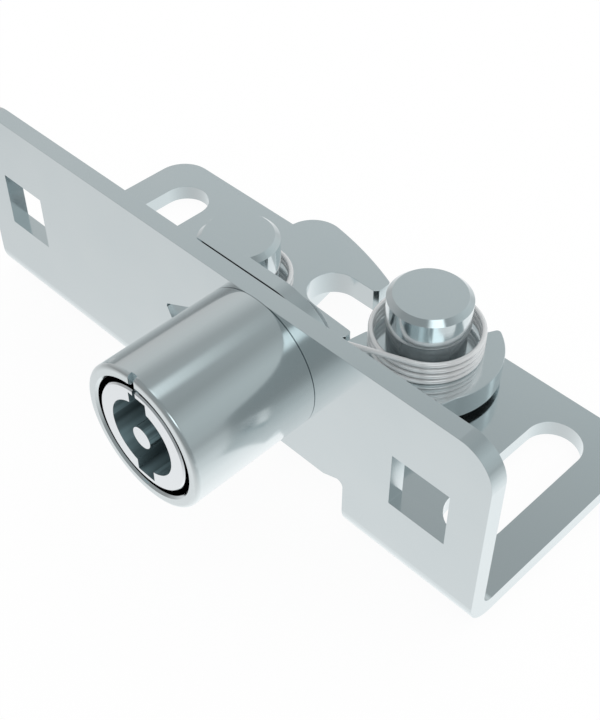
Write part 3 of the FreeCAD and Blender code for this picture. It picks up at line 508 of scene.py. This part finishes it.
drawn_wire, tree = finish("bright_plated_drawn_wire")
unrolled = node(tree, "UVMap", uv_map="unrolled").outputs["UV"]
stretched = node(tree, "Mapping", {"Vector": unrolled, "Scale": (1 / drawn_lines, 1 / drawn_length, 1.0)})
lines = node(tree, "TexNoise", {"Vector": stretched.outputs["Vector"], "Scale": 1.0, "Detail": 2.0},
             noise_dimensions="2D")
tone = node(tree, "Mix", {0: lines.outputs["Fac"], 6: linear(wire_tone), 7: linear(wire_shade)},
            data_type="RGBA").outputs[2]
gloss = node(tree, "MapRange", {
    "Value": lines.outputs["Fac"], "To Min": wire_rough_low, "To Max": wire_rough_high})
surface = node(tree, "BsdfPrincipled", {
    "Base Color": tone, "Metallic": wire_metal, "Roughness": gloss.outputs["Result"]})
node(tree, "OutputMaterial", {"Surface": surface.outputs[0]})


def spring_path(radius, turns, leg):
    """The middle of a spring's wire from the leg's end to the hook's, with its radial direction.

    At turn t the coil is at (R cos 2 pi t, R sin 2 pi t), and its height is the pitch times the
    falling turns that are left, max(floor(2 turns) / 2 - t, 0). The leg is the tangent at t = 0,
    and the hook is a quarter circle from the last tangent to straight down.
    """
    falling = math.floor(2 * turns) / 2
    top = falling * coil_pitch
    leg_y = np.linspace(-leg, 0.0, leg_steps, endpoint=False)
    leg_points = np.column_stack([np.full(leg_steps, radius), leg_y, np.full(leg_steps, top)])
    leg_out = np.tile([1.0, 0.0, 0.0], (leg_steps, 1))

    turn = np.linspace(0.0, turns, int(turn_steps * turns))
    angle = 2 * math.pi * turn
    fall = np.maximum(falling - turn, 0.0) * coil_pitch
    coil_out = np.column_stack([np.cos(angle), np.sin(angle), np.zeros_like(angle)])
    coil_points = radius * coil_out + np.column_stack([0 * fall, 0 * fall, fall])

    onward = np.array([-math.sin(angle[-1]), math.cos(angle[-1]), 0.0])
    down = np.array([0.0, 0.0, -1.0])
    bend = np.linspace(0.0, math.pi / 2, bend_steps)[1:, None]
    bend_points = coil_points[-1] + hook_bend * (np.sin(bend) * onward + (1 - np.cos(bend)) * down)
    drop = np.linspace(0.0, hook_end, drop_steps)[1:, None]
    hook_points = bend_points[-1] + drop * down
    hook_out = np.tile(coil_out[-1], (len(bend_points) + len(hook_points), 1))
    return (np.vstack([leg_points, coil_points, bend_points, hook_points]),
            np.vstack([leg_out, coil_out, hook_out]))


def wire_mesh(name, points, outward):
    """A round wire swept along a path, with flat ends and its skin unrolled in metres as UVs.

    The ring at point p is p + r (out cos a + side sin a), where side is the tangent times out.
    """
    tangent = np.gradient(points, axis=0)
    tangent /= np.linalg.norm(tangent, axis=1)[:, None]
    side = np.cross(tangent, outward)
    side /= np.linalg.norm(side, axis=1)[:, None]
    angle = np.linspace(0.0, 2 * math.pi, wire_sides, endpoint=False)
    ring = (outward[:, None, :] * np.cos(angle)[None, :, None]
            + side[:, None, :] * np.sin(angle)[None, :, None])
    vertices = (points[:, None, :] + wire_rad * ring).reshape(-1, 3)

    rows, columns = np.meshgrid(np.arange(len(points) - 1), np.arange(wire_sides), indexing="ij")
    after = (columns + 1) % wire_sides
    corners = [rows * wire_sides + columns, rows * wire_sides + after,
               (rows + 1) * wire_sides + after, (rows + 1) * wire_sides + columns]
    faces = np.stack(corners, axis=-1).reshape(-1, 4)
    ends = [list(range(wire_sides))[::-1], list(range(len(vertices) - wire_sides, len(vertices)))]
    mesh = bpy.data.meshes.new(name)
    mesh.from_pydata(vertices.tolist(), [], faces.tolist() + ends)

    steps = np.linalg.norm(np.diff(points, axis=0), axis=1)
    along = np.concatenate([[0.0], np.cumsum(steps)])
    lap = 2 * math.pi * wire_rad / wire_sides
    u = np.stack([columns, columns + 1, columns + 1, columns], axis=-1) * lap
    v = np.stack([along[rows], along[rows], along[rows + 1], along[rows + 1]], axis=-1)
    unrolled = np.stack([u, v], axis=-1).reshape(-1, 2)
    layer = mesh.uv_layers.new(name="unrolled")
    filled = np.zeros((len(mesh.loops), 2))
    filled[:len(unrolled)] = unrolled
    layer.data.foreach_set("uv", filled.ravel())
    smooth = np.ones(len(mesh.polygons), dtype=bool)
    smooth[-2:] = False
    mesh.polygons.foreach_set("use_smooth", smooth)
    mesh.materials.append(drawn_wire)
    return mesh


springs = {
    "claw": {"radius": 0.0074, "turns": 2.03, "turn": -60.0, "leg": 0.016},
    "pawl": {"radius": 0.00783, "turns": 3.3, "turn": -67.9, "leg": 0.034},
}
for lever, spring in springs.items():
    points, outward = spring_path(spring["radius"], spring["turns"], spring["leg"])
    heading = math.radians(spring["turn"])
    spin = np.array([[math.cos(heading), math.sin(heading), 0.0],
                     [-math.sin(heading), math.cos(heading), 0.0],
                     [0.0, 0.0, 1.0]])
    low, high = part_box(lever + "_stud")
    axis = np.array([(low.x + high.x) / 2, (low.y + high.y) / 2, 0.0])
    lever_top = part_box(lever)[1].z
    axis[2] = lever_top + wire_rad + coil_lift
    mesh = wire_mesh(lever + "_coil", points @ spin + axis, outward @ spin)
    coil = bpy.data.objects.new(lever + "_coil", mesh)
    bpy.context.collection.objects.link(coil)
    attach(coil, "frame")
    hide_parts(lever + "_spring")
